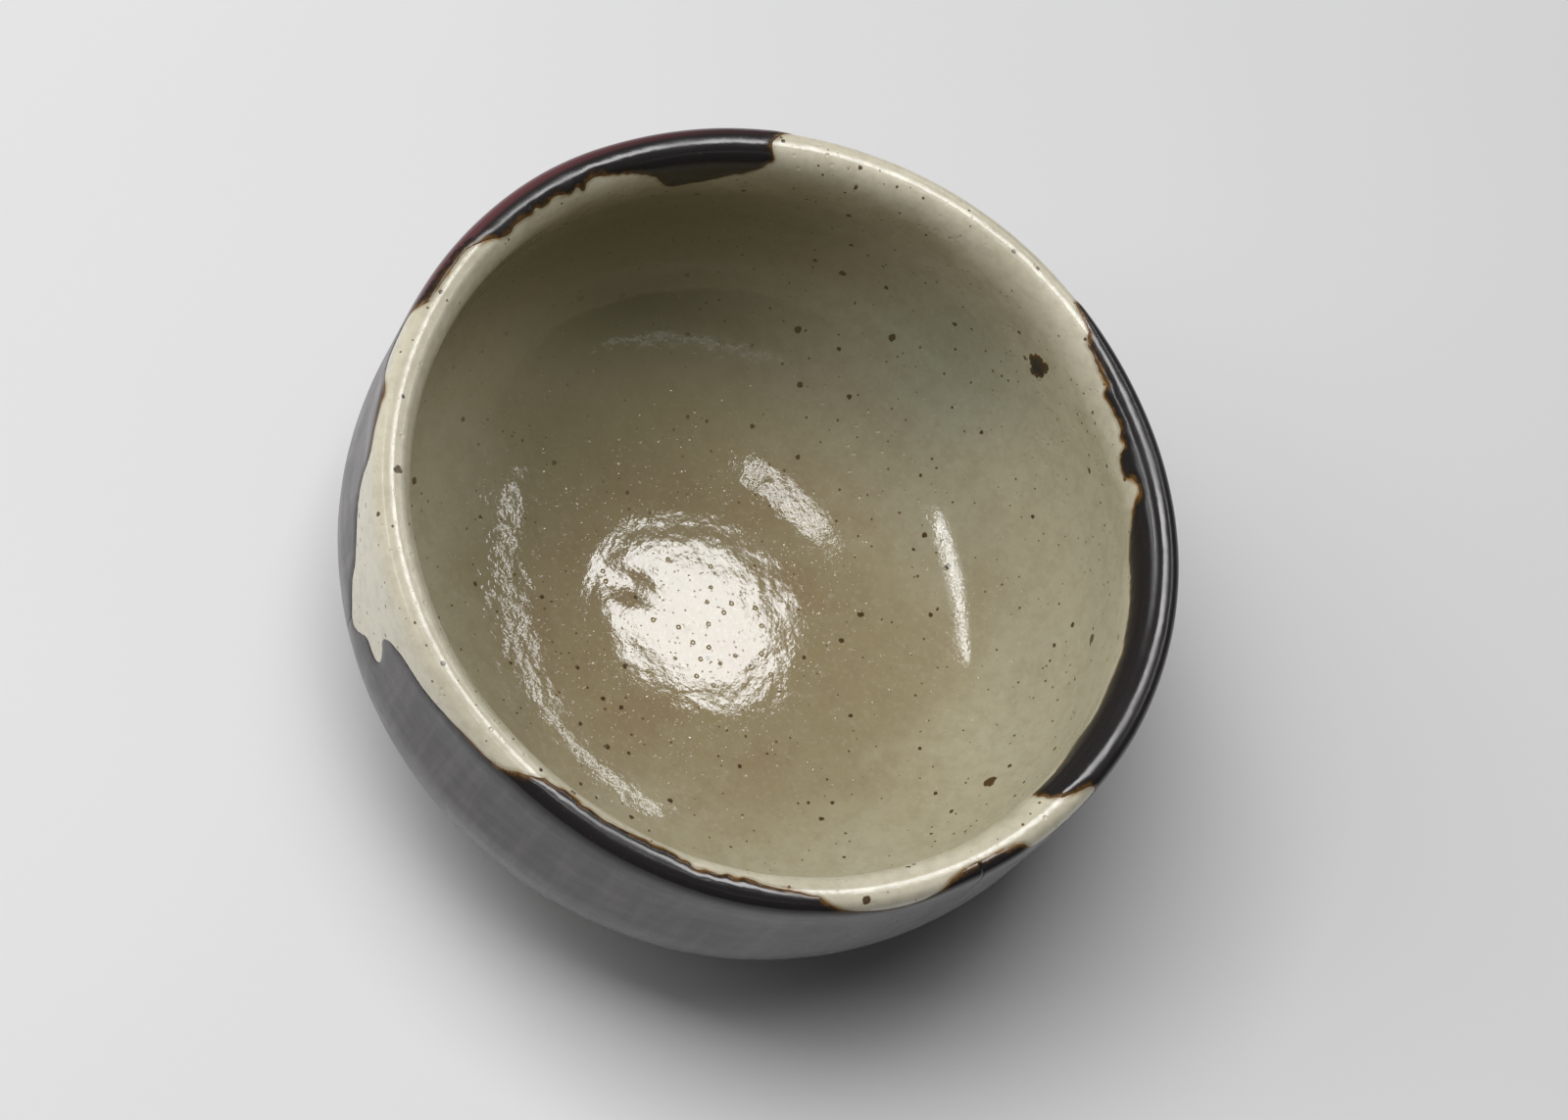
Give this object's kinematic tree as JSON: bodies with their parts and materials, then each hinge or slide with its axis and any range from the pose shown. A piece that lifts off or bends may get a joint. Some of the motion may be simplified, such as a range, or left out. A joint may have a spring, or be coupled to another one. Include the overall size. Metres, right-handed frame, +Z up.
{
  "type": "matcha bowl",
  "caption": "Low rounded stoneware tea bowl with a pale ash glaze, dark glaze dips over the lip and outside, and a bare clay foot ring.",
  "frame": {"origin": "centre of the bowl at the level of the foot ring's underside", "axes": "+Z up the bowl's axis, out of its mouth; +X towards the middle of the dip on the right, -Y towards the dip at the front"},
  "size_m": [0.1237, 0.1238, 0.0666],
  "materials": {
    "stoneware": "bare fired stoneware, rough",
    "ash_glaze": "pale grey-green ash glaze with iron specks, gloss",
    "black_glaze": "black iron glaze breaking to rust at its edges, gloss"
  },
  "bodies": {
    "root": {"clay_body": "stoneware", "foot_ring": "stoneware", "ash_glaze": "ash_glaze", "black_dip_back": "black_glaze", "black_dip_right": "black_glaze", "black_dip_front": "black_glaze", "glaze_splash": "black_glaze"}
  },
  "joints": []
}
